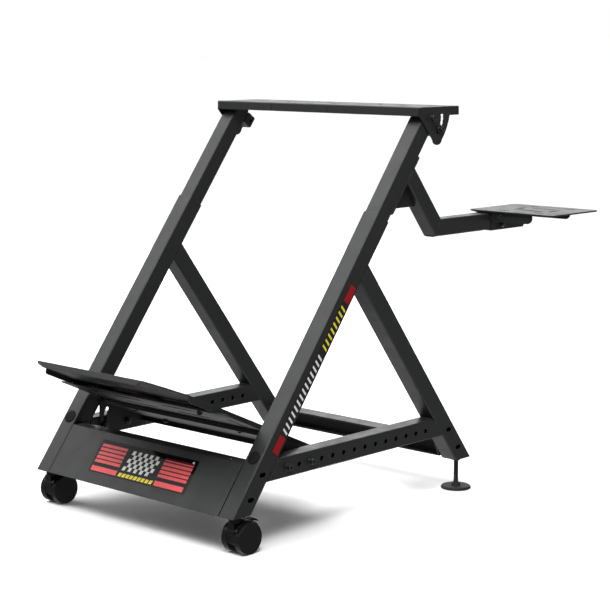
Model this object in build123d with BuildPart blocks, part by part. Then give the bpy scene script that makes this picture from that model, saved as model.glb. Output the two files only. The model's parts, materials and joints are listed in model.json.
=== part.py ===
from build123d import *
import os
from math import cos, radians, sin, tan

# A stand for a racing wheel: two side frames of square tube, a telescoping mast
# with a tilting wheel plate, an arm with a shifter plate, a sloping pedal deck,
# two front casters and two rear levelling feet.
# Millimetres, +Z up, +X to the shifter side, +Y towards the driver.
# Lengths called y start at the bottom front edge of the front posts, and
# lengths called x start at the stand's middle plane.

# Square tubes
TUBE = 40.0
WALL = 1.5
CORNER = 4.0
INNER = 36.0
INNER_CORNER = 3.0
TUBE_X = 266.0
INSIDE_X = TUBE_X - TUBE / 2
OUTSIDE_X = TUBE_X + TUBE / 2
INNER_FACE_X = TUBE_X + INNER / 2

# Sheet metal and running gaps
SHEET = 3.0
GAP = 0.3
FIT = 0.05

# Fasteners: M8 cap screws, M6 button screws and M6 weld studs
BOLT_R = 4.0
SMALL_R = 3.0
WASHER = 1.4
NUT_THICK = 6.5
SMALL_NUT_THICK = 5.0
NUT_ACROSS = 13.0
SMALL_NUT_ACROSS = 10.0
CAP_BOLT = {"radius": BOLT_R, "head_r": 6.8, "head": 8.0, "washer_r": 8.5, "taper": 3}
ANGLE_BOLT = {"radius": BOLT_R, "head_r": 6.5, "head": 8.0, "washer_r": 7.5, "taper": 3}
SMALL_BOLT = {"radius": SMALL_R, "head_r": 5.2, "head": 3.3, "washer_r": 6.0, "taper": 18}

# Front posts: they lean back, measured along the slope from POST_BOTTOM
POST_LEAN = radians(37.2)
POST_BOTTOM = 74.0
POST_LENGTH = 676.5
POST_DEPTH = TUBE / cos(POST_LEAN)
PLUG_U = 127.0
PLUG_HOLE_R = 12.0
PLUG_R = 14.0
PLUG_RISE = 1.4
PLUG_BEVEL = 30
PLUG_PIN = 5.0
LOCK_U = 645.0
LOCK_GRIP = 10.0
LOCK_BOSS_R = 9.0
LOCK_BOSS = 1.5
LOCK_HEAD_R = 7.0
LOCK_HEAD = 2.2

# Rear legs: they lean forwards, along y = LEG_FOOT_Y - z tan(LEG_LEAN)
LEG_LEAN = radians(37.1)
LEG_BOTTOM = 67.0
LEG_FOOT_Y = 718.5
LEG_DEPTH = TUBE / cos(LEG_LEAN)
LEG_REACH = 720.0
LEG_SLOTS = ((640.8, 138.5), (673.5, 95.6))
SLOT_LENGTH = 17.0
SLOT_WIDTH = 9.0

# Side rails and the holes that carry the pedal deck
RAIL_LOW = 128.0
RAIL_HIGH = RAIL_LOW + TUBE
RAIL_MID = (RAIL_LOW + RAIL_HIGH) / 2
RAIL_HOLE_R = 5.2
RAIL_HOLES = 14
HOLE_PITCH = 32.0
FIRST_HOLE_Y = 148.0

# Front panel
PANEL_HEIGHT = 111.5
PANEL_SHEET = 2.0
PANEL_TAB = 40.0
PANEL_FLANGE = 28.0
PANEL_BOLTS = (51.8, 104.7)
PANEL_BOLT_V = 21.0
PANEL_SLOT_X = 200.0
PANEL_SLOT_LENGTH = 16.0
PANEL_SLOT_WIDTH = 6.0

# Rear crossmember, an open channel
CROSS_TOP = 112.0
CROSS_LOW = 72.0
CROSS_FRONT_Y = 643.0
CROSS_BACK_Y = 685.0
CROSS_LIP_Y = CROSS_FRONT_Y + 17.0
CROSS_HOLE_X = 72.0
CROSS_HOLE_R = 4.4

# Mast: the inner posts and their head blocks, measured along the slope
INNER_START = 416.0
INNER_END = 921.0
GLIDE = 8.0
BLOCK_LOW = 899.0
BLOCK_HIGH = 925.0
BLOCK_DEEP = 24.7
POST_BACK_V = (TUBE + INNER) / 2

# Wheel plate
PLATE_TOP = 813.7
PLATE_HALF = 288.0
PLATE_FRONT_Y = 530.6
PLATE_BACK_Y = 660.0
PLATE_SKIRT = 18.0
PLATE_MID_Y = (PLATE_FRONT_Y + PLATE_BACK_Y) / 2
EAR_FRONT = (PLATE_FRONT_Y, 797.0)
EAR_TIP = ((574.0, 748.0), (590.0, 736.5), (604.0, 748.0))
EAR_BACK = ((620.0, 773.0), (628.0, 797.0))
PIVOT_Y = 568.4
PIVOT_Z = 791.5
TILT_ARM = 36.1
TILT_AT = -40.0
TILT_STEP = 12.0
TILT_LOBES = range(-1, 5)
TILT_LOBE_R = BOLT_R + 1.3
HEAD_REACH = PLATE_HALF + GAP - INNER_FACE_X + 12.0
WHEEL_ROWS_Y = (558.0, 632.0)
WHEEL_HOLE_X = 75.0
WHEEL_HOLE_R = 3.3
# x, y, length, width and turn of each slot of the right half
WHEEL_SLOTS = (
    (36.0, WHEEL_ROWS_Y[0], 22.0, 6.6, 0.0),
    (36.0, WHEEL_ROWS_Y[1], 22.0, 6.6, 0.0),
    (105.0, 568.0, 30.0, 6.6, 35.0),
    (108.0, 622.0, 24.0, 6.6, -35.0),
    (148.0, WHEEL_ROWS_Y[1], 34.0, 8.0, 0.0),
    (214.0, 572.0, 26.0, 8.0, 90.0),
    (238.0, 634.0, 30.0, 8.0, 0.0),
)
CABLE_SLOT_LENGTH = 44.0
CABLE_SLOT_WIDTH = 10.0

# Shifter arm
ARM = 35.0
ARM_SHEET = 2.0
ARM_X = INNER_FACE_X - ARM / 2
ARM_TOP = 584.0
ARM_LOW = ARM_TOP - ARM
ARM_MID = ARM_TOP - ARM / 2
ARM_KNEE_Y = 611.0
ARM_DROP = radians(51.6)
KNEE_LOW_Y = ARM_KNEE_Y - ARM * tan(ARM_DROP / 2)
ARM_END_Y = 897.0
STRUT_REACH = 320.0
CAP_SHEET = 3.0
CAP_PLUG = 12.0
SADDLE_LOW = 697.0
SADDLE_HIGH = 836.0
SADDLE_SHEET = 4.0
SADDLE_GRIP = 11.0
SADDLE_BACK_V = POST_BACK_V + SADDLE_SHEET
SADDLE_ROWS = (SADDLE_LOW + 16.0, SADDLE_LOW + 48.0, SADDLE_HIGH - 12.0)
SADDLE_BOLTS = [(x, u) for x in (-10.0, 10.0) for u in SADDLE_ROWS]
GUSSET_Z = 614.0

# Shifter plate and the sleeve that slides along the arm
SHIFTER_LEFT = 232.0
SHIFTER_RIGHT = 449.0
SHIFTER_FRONT_Y = 769.0
SHIFTER_BACK_Y = 937.0
SHIFTER_TOP = 590.0
SHIFTER_UNDER = SHIFTER_TOP - SHEET
SHIFTER_MID_X = (SHIFTER_LEFT + SHIFTER_RIGHT) / 2
SHIFTER_MID_Y = (SHIFTER_FRONT_Y + SHIFTER_BACK_Y) / 2
SHIFTER_CORNER = 9.0
SHIFTER_RIBS_Y = (775.5, 915.0)
RIB_LEFT = 243.0
RIB_INNER = INNER_FACE_X + 1.0
RIB_RIGHT = 391.0
RIB_LOW = 567.5
RIB_CORNER = 12.0
RIB_HOLE = (312.0, 577.5)
SHIFTER_SLOT_X = 350.0
# x and y from the slots' middle, length, width and turn of each slot
SHIFTER_SLOTS = (
    (-44.0, -56.0, 26.0, 6.6, 0.0),
    (44.0, -56.0, 26.0, 6.6, 0.0),
    (-44.0, 56.0, 26.0, 6.6, 0.0),
    (44.0, 56.0, 26.0, 6.6, 0.0),
    (0.0, -25.0, 60.0, 6.6, 0.0),
    (0.0, 25.0, 60.0, 6.6, 0.0),
    (-44.0, 0.0, 40.0, 6.6, 90.0),
    (44.0, 0.0, 40.0, 6.6, 90.0),
)
SLEEVE_SHEET = 2.0
SLEEVE_START_Y = 780.0
SLEEVE_END_Y = 893.0
SLEEVE_MID_Y = (SLEEVE_START_Y + SLEEVE_END_Y) / 2
SLEEVE_IN = ARM / 2 + GAP
SLEEVE_OUT = SLEEVE_IN + SLEEVE_SHEET
SLEEVE_FLANGE = 13.0
SLEEVE_STUDS = [
    (ARM_X + side * (SLEEVE_OUT + 6.5), y)
    for side in (-1, 1)
    for y in (SLEEVE_START_Y + 16.0, SLEEVE_END_Y - 16.0)
]
SLEEVE_SCREW = (815.0, 557.0)
SLEEVE_BOSS = 3.0
PAD_LENGTH = 56.0

# Pedal deck: it slopes down towards the driver from its front edge
DECK_TILT = radians(24.45)
DECK_Y = -95.0
DECK_Z = 331.0
DECK_LENGTH = 470.0
DECK_HALF = 208.0
DECK_FRONT_HALF = 150.0
DECK_SHOULDER = ((166.0, 12.0), (184.0, 31.0), (200.0, 54.0))
DECK_LIP = 11.0
DECK_LIP_HALF = 136.0
DECK_EDGE = 10.6
FLANGE_START = 72.0
FLANGE_DEEP = 13.0
FLANGE_STEP = 142.0
DECK_STUD_X = 150.0
DECK_ROWS = (165.0, 285.0, 375.0)
SPACER_R = 6.0
STUD_SPARE = 7.0
# x, s, length, width and turn of each slot of the right half
DECK_SLOTS = (
    *((98.0, s, 60.0, 7.0, 0.0) for s in (70.0, 130.0, 230.0, 330.0, 420.0)),
    *((32.0, s, 70.0, 7.0, 90.0) for s in (100.0, 200.0, 300.0)),
)
DECK_MIDDLE_SLOTS = (50.0, 395.0)
DECK_MIDDLE_SLOT_LENGTH = 50.0
DECK_MIDDLE_SLOT_WIDTH = 7.0

# Tray and base under the pedal deck
TRAY_HALF = 241.0
TRAY_START = 146.0
TRAY_END = 300.0
TRAY_DEPTH = 11.0
TRAY_SLOTS = ((75.0, 178.0, 90.0, 9.0, 0.0), (75.0, 225.0, 90.0, 9.0, 0.0), (200.0, 220.0, 60.0, 9.0, 90.0))
BASE_START = 262.0
BASE_END = 398.0
BASE_DEPTH = 14.5
BASE_HALF = INSIDE_X - 0.6
BASE_LIP = 10.0
BASE_FRONT_LIP = 6.0
BASE_WALL_LOW = 131.0
BASE_CHAMFER = (10.0, 7.0)
DECK_PIVOT_Y = FIRST_HOLE_Y + 2 * HOLE_PITCH
DECK_STEP = 8.0
DECK_LOBES = range(0, 5)
DECK_LOBE_R = BOLT_R + 0.9
RAIL_BOLT_POINTS = ((FIRST_HOLE_Y, RAIL_MID), (DECK_PIVOT_Y, RAIL_MID))
RAIL_NUT_X = BASE_HALF - SHEET - GAP

# Casters
STEM_Y = 25.1
STEM_R = 5.0
STEM_LOW = 46.0
STEM_ABOVE = 14.0
STEM_FLANGE_R = 11.0
STEM_FLANGE = 4.0
STEM_NUT_THICK = 8.0
STEM_NUT_ACROSS = 16.0
WHEEL_R = 30.5
WHEEL_Y = 43.0
WHEEL_INNER_X = 9.3
WHEEL_OUTER_X = 24.0
WHEEL_RIM = 1.5
AXLE_R = 3.0
AXLE_HALF = 21.0
CORE_HALF = WHEEL_INNER_X - GAP
CORE_FRONT_Y = STEM_Y - 11.0
CORE_TOP = 62.0
CORE_LOW = 17.0
HOOD_HALF = 17.0
HOOD_IN = WHEEL_R + 0.8
HOOD_OUT = HOOD_IN + 2.7
HOOD_REAR = 35.0
HOOD_FRONT = 150.0
NECK_R = 12.0
NECK_TOP = POST_BOTTOM - STEM_FLANGE - GAP
LEVER_Y = 58.0
LEVER_Z = 59.5
LEVER_PIN_R = 1.5
LEVER_EYE_R = 3.1
LEVER_HALF = 5.6
LEVER_GAP = 6.0
LEVER_TIP_HALF = 8.0
LEVER_STALK = ((LEVER_Y, 62.4), (68.0, 62.3), (68.0, 58.0), (LEVER_Y, 57.0))
LEVER_TIP = ((67.0, 62.3), (70.5, 62.0), (79.4, 57.2), (78.2, 54.9), (70.0, 57.6), (67.0, 58.4))

# Levelling feet
FOOT_Y = 692.8
FOOT_R = 32.0
FOOT_EDGE = 3.2
FOOT_STEP = 1.6
FOOT_TOP = 5.4
BOSS_R = 8.5
BOSS_TOP = 12.0
STUD_R = 5.0
STUD_LOW = 4.0
STUD_TOP = 79.0
FOOT_NUT_THICK = 5.0
FOOT_NUT_ACROSS = 15.0
FOOT_LOCK_THICK = 6.0
FOOT_LOCK_ACROSS = 16.0

# The part's origin is on the floor, under the middle of the whole stand
MID_X = -(SHIFTER_RIGHT - (TUBE_X + FOOT_R)) / 2
DECK_NOSE_Y = DECK_Y - DECK_LIP * sin(DECK_TILT)
FRONT_Y = -(SHIFTER_BACK_Y + DECK_NOSE_Y) / 2

SIDES = (("left", -1), ("right", 1))

os.makedirs("parts", exist_ok=True)

# --------------------------------------------------------------------- planes


def side_plane(x):
    """A plane facing +X; its sketch axes are y and height."""
    return Plane(origin=(MID_X + x, FRONT_Y, 0), x_dir=(0, 1, 0), z_dir=(1, 0, 0))


def level_plane(z):
    """A plane facing up at height z; its sketch axes are x and y."""
    return Plane(origin=(MID_X, FRONT_Y, z), x_dir=(1, 0, 0), z_dir=(0, 0, 1))


def front_plane(y):
    """A plane facing -Y; its sketch axes are x and height."""
    return Plane(origin=(MID_X, FRONT_Y + y, 0), x_dir=(1, 0, 0), z_dir=(0, -1, 0))


def across(x, y, z, along_y, along_z):
    """A plane across a tube whose middle is at the point and which runs the given way."""
    return Plane(origin=(MID_X + x, FRONT_Y + y, z), x_dir=(1, 0, 0), z_dir=(0, along_y, along_z))


def outward_plane(x, side):
    """A plane whose normal points away from the stand's middle; its first axis is y or -y."""
    way = 1 if side > 0 else -1
    return Plane(origin=(MID_X + x, FRONT_Y, 0), x_dir=(0, way, 0), z_dir=(way, 0, 0))


def at(side, y, z):
    """A point of the side view as the outward plane of that side has it."""
    return (y, z) if side > 0 else (-y, z)


def post_plane(x):
    """A plane facing -X; its sketch axes are u, up the post, and v, from its front face."""
    up_post = (0, sin(POST_LEAN), cos(POST_LEAN))
    return Plane(origin=(MID_X + x, FRONT_Y, POST_BOTTOM), x_dir=up_post, z_dir=(-1, 0, 0))


def post_face(x, v):
    """A plane parallel to the post's front face, v behind it, facing forwards; axes x and u."""
    y, z = post_point(0, v)
    forwards = (0, -cos(POST_LEAN), sin(POST_LEAN))
    return Plane(origin=(MID_X + x, FRONT_Y + y, z), x_dir=(1, 0, 0), z_dir=forwards)


def leg_face(x):
    """The plane of the rear leg's front face, facing forwards."""
    forwards = (0, -cos(LEG_LEAN), -sin(LEG_LEAN))
    return Plane(origin=(MID_X + x, FRONT_Y + LEG_FOOT_Y, 0), x_dir=(1, 0, 0), z_dir=forwards)


def deck_plane(depth=0.0):
    """A plane parallel to the pedal deck's top, depth below it; axes x and s, down the slope."""
    y, z = deck_point(0, depth)
    normal = (0, sin(DECK_TILT), cos(DECK_TILT))
    return Plane(origin=(MID_X, FRONT_Y + y, z), x_dir=(1, 0, 0), z_dir=normal)


def deck_cross(s, depth=0.0):
    """A plane across the deck facing up its slope; axes x and height above the given depth."""
    y, z = deck_point(s, depth)
    up_slope = (0, -cos(DECK_TILT), sin(DECK_TILT))
    return Plane(origin=(MID_X, FRONT_Y + y, z), x_dir=(1, 0, 0), z_dir=up_slope)


def deck_side(x):
    """A plane along the deck's side, facing +X; axes s and height above the deck's top."""
    down_slope = (0, cos(DECK_TILT), -sin(DECK_TILT))
    return Plane(origin=(MID_X + x, FRONT_Y + DECK_Y, DECK_Z), x_dir=down_slope, z_dir=(1, 0, 0))


# --------------------------------------------------------------------- points


def post_point(u, v):
    """The y and z of a point on the post's side."""
    y = u * sin(POST_LEAN) + v * cos(POST_LEAN)
    return y, POST_BOTTOM + u * cos(POST_LEAN) - v * sin(POST_LEAN)


def deck_point(s, depth):
    """The y and z of a point on the pedal deck's side."""
    y = DECK_Y + s * cos(DECK_TILT) - depth * sin(DECK_TILT)
    return y, DECK_Z - s * sin(DECK_TILT) - depth * cos(DECK_TILT)


def leg_front_y(z):
    """Where the rear leg's front face is at height z."""
    return LEG_FOOT_Y - z * tan(LEG_LEAN)


def polar(y, z, radius, angle):
    """The point at a radius and an angle in degrees above +Y, seen from the +X side."""
    return y + radius * cos(radians(angle)), z + radius * sin(radians(angle))


PANEL_POINTS = [post_point(u, PANEL_BOLT_V) for u in PANEL_BOLTS]
ANGLE_POINT = polar(PIVOT_Y, PIVOT_Z, TILT_ARM, TILT_AT)

# ------------------------------------------------------------- repeated shapes


def save(piece, name):
    """Labels a finished piece and writes its file."""
    piece.part.label = name
    export_step(piece.part, f"parts/{name}.step")


def square_tube(plane, size, corner, wall, length):
    """Adds a hollow square tube that starts at the plane and runs along its normal."""
    with BuildSketch(plane) as section:
        RectangleRounded(size, size, corner)
        RectangleRounded(size - 2 * wall, size - 2 * wall, corner - wall, mode=Mode.SUBTRACT)
    extrude(section.sketch, amount=length)


def end_plate(side, front_y, back_y, z, slope):
    """Adds the plate in a tube's lower end; its front and back edges follow the tube's slope."""
    shift = SHEET * slope
    with BuildSketch(side_plane(side * TUBE_X)) as plate:
        Polygon(
            (front_y, z), (back_y, z), (back_y + shift, z + SHEET), (front_y + shift, z + SHEET), align=None
        )
    extrude(plate.sketch, amount=TUBE / 2 - WALL, both=True)


def disc(plane, centre, radius, amount, taper=0.0):
    """Adds a round boss to the open part."""
    with BuildSketch(plane) as outline:
        with Locations(centre):
            Circle(radius)
    extrude(outline.sketch, amount=amount, taper=taper)


def bore(plane, centre, radius, amount, both=False):
    """Cuts a round hole through the open part."""
    with BuildSketch(plane) as outline:
        with Locations(centre):
            Circle(radius)
    extrude(outline.sketch, amount=amount, both=both, mode=Mode.SUBTRACT)


def bolt(head_plane, centre, shank, radius, head_r, head, washer_r, taper):
    """Adds a socket screw with its washer; the plane faces out of the head."""
    disc(head_plane, centre, radius, -shank)
    disc(head_plane, centre, washer_r, WASHER)
    disc(head_plane.offset(WASHER), centre, head_r, head, taper=taper)
    with BuildSketch(head_plane.offset(WASHER + head)) as socket:
        with Locations(centre):
            RegularPolygon(radius=head_r * 0.4, side_count=6)
    extrude(socket.sketch, amount=-head * 0.6, mode=Mode.SUBTRACT)


def nut(plane, centre, thick, hole, flats):
    """Adds a hexagon nut standing on the plane."""
    with BuildSketch(plane) as outline:
        with Locations(centre):
            RegularPolygon(radius=flats / 2, side_count=6, major_radius=False)
            Circle(hole, mode=Mode.SUBTRACT)
    extrude(outline.sketch, amount=thick)


def slots(plane, table, depth, middle=0.0, mirrored=True):
    """Cuts a table of slots, each with its mirror image when the piece has two like halves."""
    with BuildSketch(plane) as outline:
        for way in (-1, 1) if mirrored else (1,):
            for x, y, length, width, turn in table:
                with Locations((middle + way * x, y)):
                    SlotOverall(length, width, rotation=way * turn)
    extrude(outline.sketch, amount=-depth, mode=Mode.SUBTRACT)


def lobed_slot(centre, radius, lobes, step, start, half_width, lobe_r):
    """Sketches an arc slot about a centre, with a round pocket for each setting."""
    first = start + lobes[0] * step
    last = start + lobes[-1] * step
    inner = [polar(*centre, radius - half_width, a) for a in (first, (first + last) / 2, last)]
    outer = [polar(*centre, radius + half_width, a) for a in (first, (first + last) / 2, last)]
    with BuildSketch(Plane.XY, mode=Mode.PRIVATE) as slot:
        with BuildLine():
            ThreePointArc(*inner)
            Line(inner[-1], outer[-1])
            ThreePointArc(*outer)
            Line(outer[0], inner[0])
        make_face()
        with Locations(*(polar(*centre, radius, start + i * step) for i in lobes)):
            Circle(lobe_r)
    return slot.sketch


# ---------------------------------------------------------------- side frames


def front_post(name, side):
    """An outer post: mitred at the floor end, with a plate for the caster's stem."""
    x = side * TUBE_X
    y, z = post_point(-TUBE, TUBE / 2)
    with BuildPart() as post:
        square_tube(across(x, y, z, sin(POST_LEAN), cos(POST_LEAN)), TUBE, CORNER, WALL, POST_LENGTH + TUBE)
        split(bisect_by=level_plane(POST_BOTTOM), keep=Keep.TOP)
        end_plate(side, WALL, POST_DEPTH - WALL, POST_BOTTOM, tan(POST_LEAN))
        bore(level_plane(POST_BOTTOM), (x, STEM_Y), STEM_R + FIT, 2 * SHEET, both=True)
        for point in PANEL_POINTS:
            with BuildSketch(side_plane(side * OUTSIDE_X)) as slot:
                with Locations(point):
                    SlotOverall(SLOT_LENGTH, SLOT_WIDTH)
            extrude(slot.sketch, amount=2 * WALL, both=True, mode=Mode.SUBTRACT)
            bore(side_plane(side * INSIDE_X), point, SMALL_R + FIT, 2 * WALL, both=True)
        bore(post_face(x, 0), (0, PLUG_U), PLUG_HOLE_R, 2 * WALL, both=True)
        bore(post_face(x, TUBE), (0, LOCK_U), BOLT_R + FIT, 2 * WALL, both=True)
    save(post, name)


def side_rail(name, side):
    """A rail between post and leg, with a row of through holes."""
    x = side * TUBE_X
    with BuildPart() as rail:
        square_tube(across(x, 0, RAIL_MID, 1, 0), TUBE, CORNER, WALL, CROSS_FRONT_Y)
        split(bisect_by=post_face(x, TUBE), keep=Keep.BOTTOM)
        split(bisect_by=leg_face(x), keep=Keep.TOP)
        with BuildSketch(side_plane(x)) as holes:
            for i in range(RAIL_HOLES):
                with Locations((FIRST_HOLE_Y + i * HOLE_PITCH, RAIL_MID)):
                    Circle(RAIL_HOLE_R)
        extrude(holes.sketch, amount=TUBE, both=True, mode=Mode.SUBTRACT)
    save(rail, name)


def rear_leg(name, side):
    """A leg mitred onto the post's back face, with a plate for the levelling foot."""
    x = side * TUBE_X
    foot_y = LEG_FOOT_Y + TUBE * (cos(LEG_LEAN) / 2 + sin(LEG_LEAN))
    foot_z = TUBE * (sin(LEG_LEAN) / 2 - cos(LEG_LEAN))
    low_y = leg_front_y(LEG_BOTTOM)
    with BuildPart() as leg:
        square_tube(across(x, foot_y, foot_z, -sin(LEG_LEAN), cos(LEG_LEAN)), TUBE, CORNER, WALL, LEG_REACH)
        split(bisect_by=level_plane(LEG_BOTTOM), keep=Keep.TOP)
        split(bisect_by=post_face(x, TUBE), keep=Keep.BOTTOM)
        end_plate(side, low_y + WALL, low_y + LEG_DEPTH - WALL, LEG_BOTTOM, -tan(LEG_LEAN))
        bore(level_plane(LEG_BOTTOM), (x, FOOT_Y), STUD_R + FIT, 2 * SHEET, both=True)
        with BuildSketch(side_plane(side * OUTSIDE_X)) as slot:
            with Locations(*LEG_SLOTS):
                SlotOverall(SLOT_LENGTH, SLOT_WIDTH)
        extrude(slot.sketch, amount=2 * WALL, both=True, mode=Mode.SUBTRACT)
        bore(side_plane(side * INSIDE_X), LEG_SLOTS[1], SMALL_R + FIT, 2 * WALL, both=True)
    save(leg, name)


for label, side in SIDES:
    front_post(f"{label}_front_post", side)
    side_rail(f"{label}_side_rail", side)
    rear_leg(f"{label}_rear_leg", side)

# ------------------------------------------------- front panel and crossmember

panel_top_y, panel_top = post_point(PANEL_HEIGHT, 0)
skin_y = PANEL_SHEET / cos(POST_LEAN)
corner_y = PANEL_SHEET * tan(POST_LEAN)
panel_low_back = (PANEL_TAB, POST_BOTTOM)
panel_high_back = (panel_top_y + PANEL_TAB, panel_top)

with BuildPart() as front_panel:
    with BuildSketch(side_plane(0)):
        Polygon(
            (0, POST_BOTTOM),
            (PANEL_FLANGE, POST_BOTTOM),
            (PANEL_FLANGE, POST_BOTTOM + PANEL_SHEET),
            (skin_y + corner_y, POST_BOTTOM + PANEL_SHEET),
            (panel_top_y + skin_y - corner_y, panel_top - PANEL_SHEET),
            (panel_top_y + PANEL_FLANGE, panel_top - PANEL_SHEET),
            (panel_top_y + PANEL_FLANGE, panel_top),
            (panel_top_y, panel_top),
            align=None,
        )
    extrude(amount=INSIDE_X - GAP, both=True)
    for side in (-1, 1):
        with BuildSketch(side_plane(side * (INSIDE_X - GAP - PANEL_SHEET / 2))):
            Polygon((0, POST_BOTTOM), panel_low_back, panel_high_back, (panel_top_y, panel_top), align=None)
        extrude(amount=PANEL_SHEET / 2, both=True)
    for point in PANEL_POINTS:
        bore(side_plane(0), point, SMALL_R + FIT, INSIDE_X, both=True)
    with BuildSketch(level_plane(panel_top)):
        with Locations(*((side * PANEL_SLOT_X, panel_top_y + PANEL_FLANGE / 2) for side in (-1, 1))):
            SlotOverall(PANEL_SLOT_LENGTH, PANEL_SLOT_WIDTH)
    extrude(amount=-2 * PANEL_SHEET, mode=Mode.SUBTRACT)
save(front_panel, "front_panel")

with BuildPart() as rear_crossmember:
    with BuildSketch(side_plane(0)):
        with BuildLine():
            Polyline(
                (CROSS_FRONT_Y, CROSS_TOP),
                (CROSS_BACK_Y, CROSS_TOP),
                (CROSS_BACK_Y, CROSS_LOW),
                (CROSS_LIP_Y, CROSS_LOW),
                (CROSS_LIP_Y, CROSS_LOW + SHEET),
                (CROSS_BACK_Y - SHEET, CROSS_LOW + SHEET),
                (CROSS_BACK_Y - SHEET, CROSS_TOP - SHEET),
                (CROSS_FRONT_Y, CROSS_TOP - SHEET),
                close=True,
            )
        make_face()
    extrude(amount=INSIDE_X - GAP, both=True)
    fillet(rear_crossmember.edges().filter_by(Axis.X).group_by(Axis.Y)[-1], SHEET)
    for side in (-1, 1):
        with BuildSketch(side_plane(side * (INSIDE_X - GAP - SHEET / 2))):
            Polygon(
                (CROSS_FRONT_Y, CROSS_TOP - SHEET / 2),
                (CROSS_BACK_Y - SHEET / 2, CROSS_TOP - SHEET / 2),
                (CROSS_BACK_Y - SHEET / 2, CROSS_LOW + SHEET / 2),
                (CROSS_LIP_Y, CROSS_LOW + SHEET / 2),
                align=None,
            )
        extrude(amount=SHEET / 2, both=True)
        hole = (side * CROSS_HOLE_X, (CROSS_LIP_Y + CROSS_BACK_Y - SHEET) / 2)
        bore(level_plane(CROSS_LOW), hole, CROSS_HOLE_R, 2 * SHEET, both=True)
    bore(side_plane(0), LEG_SLOTS[1], SMALL_R + FIT, INSIDE_X, both=True)
save(rear_crossmember, "rear_crossmember")

with BuildPart() as cross_bolts:
    for side in (-1, 1):
        head = outward_plane(side * (INSIDE_X + WALL), side)
        for y, z in (*PANEL_POINTS, LEG_SLOTS[1]):
            bolt(head, at(side, y, z), WALL + LOCK_GRIP, **SMALL_BOLT)
save(cross_bolts, "cross_bolts")

with BuildPart() as cross_nuts:
    for side in (-1, 1):
        panel_face = outward_plane(side * (INSIDE_X - GAP - PANEL_SHEET - SMALL_NUT_THICK), side)
        for y, z in PANEL_POINTS:
            nut(panel_face, at(side, y, z), SMALL_NUT_THICK, SMALL_R, SMALL_NUT_ACROSS)
        cross_face = outward_plane(side * (INSIDE_X - GAP - SHEET - SMALL_NUT_THICK), side)
        nut(cross_face, at(side, *LEG_SLOTS[1]), SMALL_NUT_THICK, SMALL_R, SMALL_NUT_ACROSS)
save(cross_nuts, "cross_nuts")

with BuildPart() as post_plugs:
    for side in (-1, 1):
        disc(post_face(side * TUBE_X, 0), (0, PLUG_U), PLUG_R, PLUG_RISE, taper=PLUG_BEVEL)
        disc(post_face(side * TUBE_X, 0), (0, PLUG_U), PLUG_HOLE_R, -PLUG_PIN)
save(post_plugs, "post_plugs")

# Low screws in welded bosses behind the outer posts press on the inner posts
with BuildPart() as height_lock_bosses:
    for side in (-1, 1):
        with BuildSketch(post_face(side * TUBE_X, TUBE)) as ring:
            with Locations((0, LOCK_U)):
                Circle(LOCK_BOSS_R)
                Circle(BOLT_R + FIT, mode=Mode.SUBTRACT)
        extrude(ring.sketch, amount=-LOCK_BOSS)
save(height_lock_bosses, "height_lock_bosses")

with BuildPart() as height_lock_screws:
    for side in (-1, 1):
        boss_face = post_face(side * TUBE_X, TUBE + LOCK_BOSS)
        disc(boss_face, (0, LOCK_U), BOLT_R, TUBE + LOCK_BOSS - POST_BACK_V - 0.1)
        disc(boss_face, (0, LOCK_U), LOCK_HEAD_R, -LOCK_HEAD, taper=30)
save(height_lock_screws, "height_lock_screws")

# ----------------------------------------------------------------------- mast


def inner_post(name, side):
    """An inner post that slides in the outer one and carries the wheel plate's pivot."""
    x = side * TUBE_X
    y, z = post_point(INNER_START, TUBE / 2)
    start = across(x, y, z, sin(POST_LEAN), cos(POST_LEAN))
    with BuildPart() as post:
        square_tube(start, INNER, INNER_CORNER, WALL, INNER_END - INNER_START)
        bore(side_plane(side * INNER_FACE_X), (PIVOT_Y, PIVOT_Z), BOLT_R + FIT, 2 * WALL, both=True)
        if side > 0:
            for centre in SADDLE_BOLTS:
                bore(post_face(x, POST_BACK_V), centre, SMALL_R + FIT, 2 * WALL, both=True)
    save(post, name)


for label, side in SIDES:
    inner_post(f"{label}_inner_post", side)

glide_size = TUBE - 2 * WALL - 2 * GAP
plug_size = INNER - 2 * WALL
with BuildPart() as post_glides:
    for side in (-1, 1):
        y, z = post_point(INNER_START, TUBE / 2)
        start = across(side * TUBE_X, y, z, sin(POST_LEAN), cos(POST_LEAN))
        with BuildSketch(start) as glide:
            RectangleRounded(glide_size, glide_size, INNER_CORNER)
        extrude(glide.sketch, amount=-GLIDE)
        with BuildSketch(start) as plug:
            RectangleRounded(plug_size, plug_size, INNER_CORNER - WALL)
        extrude(plug.sketch, amount=GLIDE)
save(post_glides, "post_glides")

with BuildPart() as head_blocks:
    for side in (-1, 1):
        with BuildSketch(post_plane(side * TUBE_X)) as block:
            with Locations(((BLOCK_LOW + BLOCK_HIGH) / 2, POST_BACK_V + BLOCK_DEEP / 2)):
                RectangleRounded(BLOCK_HIGH - BLOCK_LOW, BLOCK_DEEP, 3)
        extrude(block.sketch, amount=INNER / 2, both=True)
        bore(side_plane(side * TUBE_X), ANGLE_POINT, BOLT_R, INNER, both=True)
save(head_blocks, "head_blocks")

with BuildPart() as pivot_bolts:
    for side in (-1, 1):
        face = outward_plane(side * (PLATE_HALF + GAP), side)
        bolt(face, at(side, PIVOT_Y, PIVOT_Z), HEAD_REACH, **CAP_BOLT)
save(pivot_bolts, "pivot_bolts")

with BuildPart() as pivot_nuts:
    for side in (-1, 1):
        face = outward_plane(side * (INNER_FACE_X - WALL - NUT_THICK), side)
        nut(face, at(side, PIVOT_Y, PIVOT_Z), NUT_THICK, BOLT_R, NUT_ACROSS)
save(pivot_nuts, "pivot_nuts")

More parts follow.
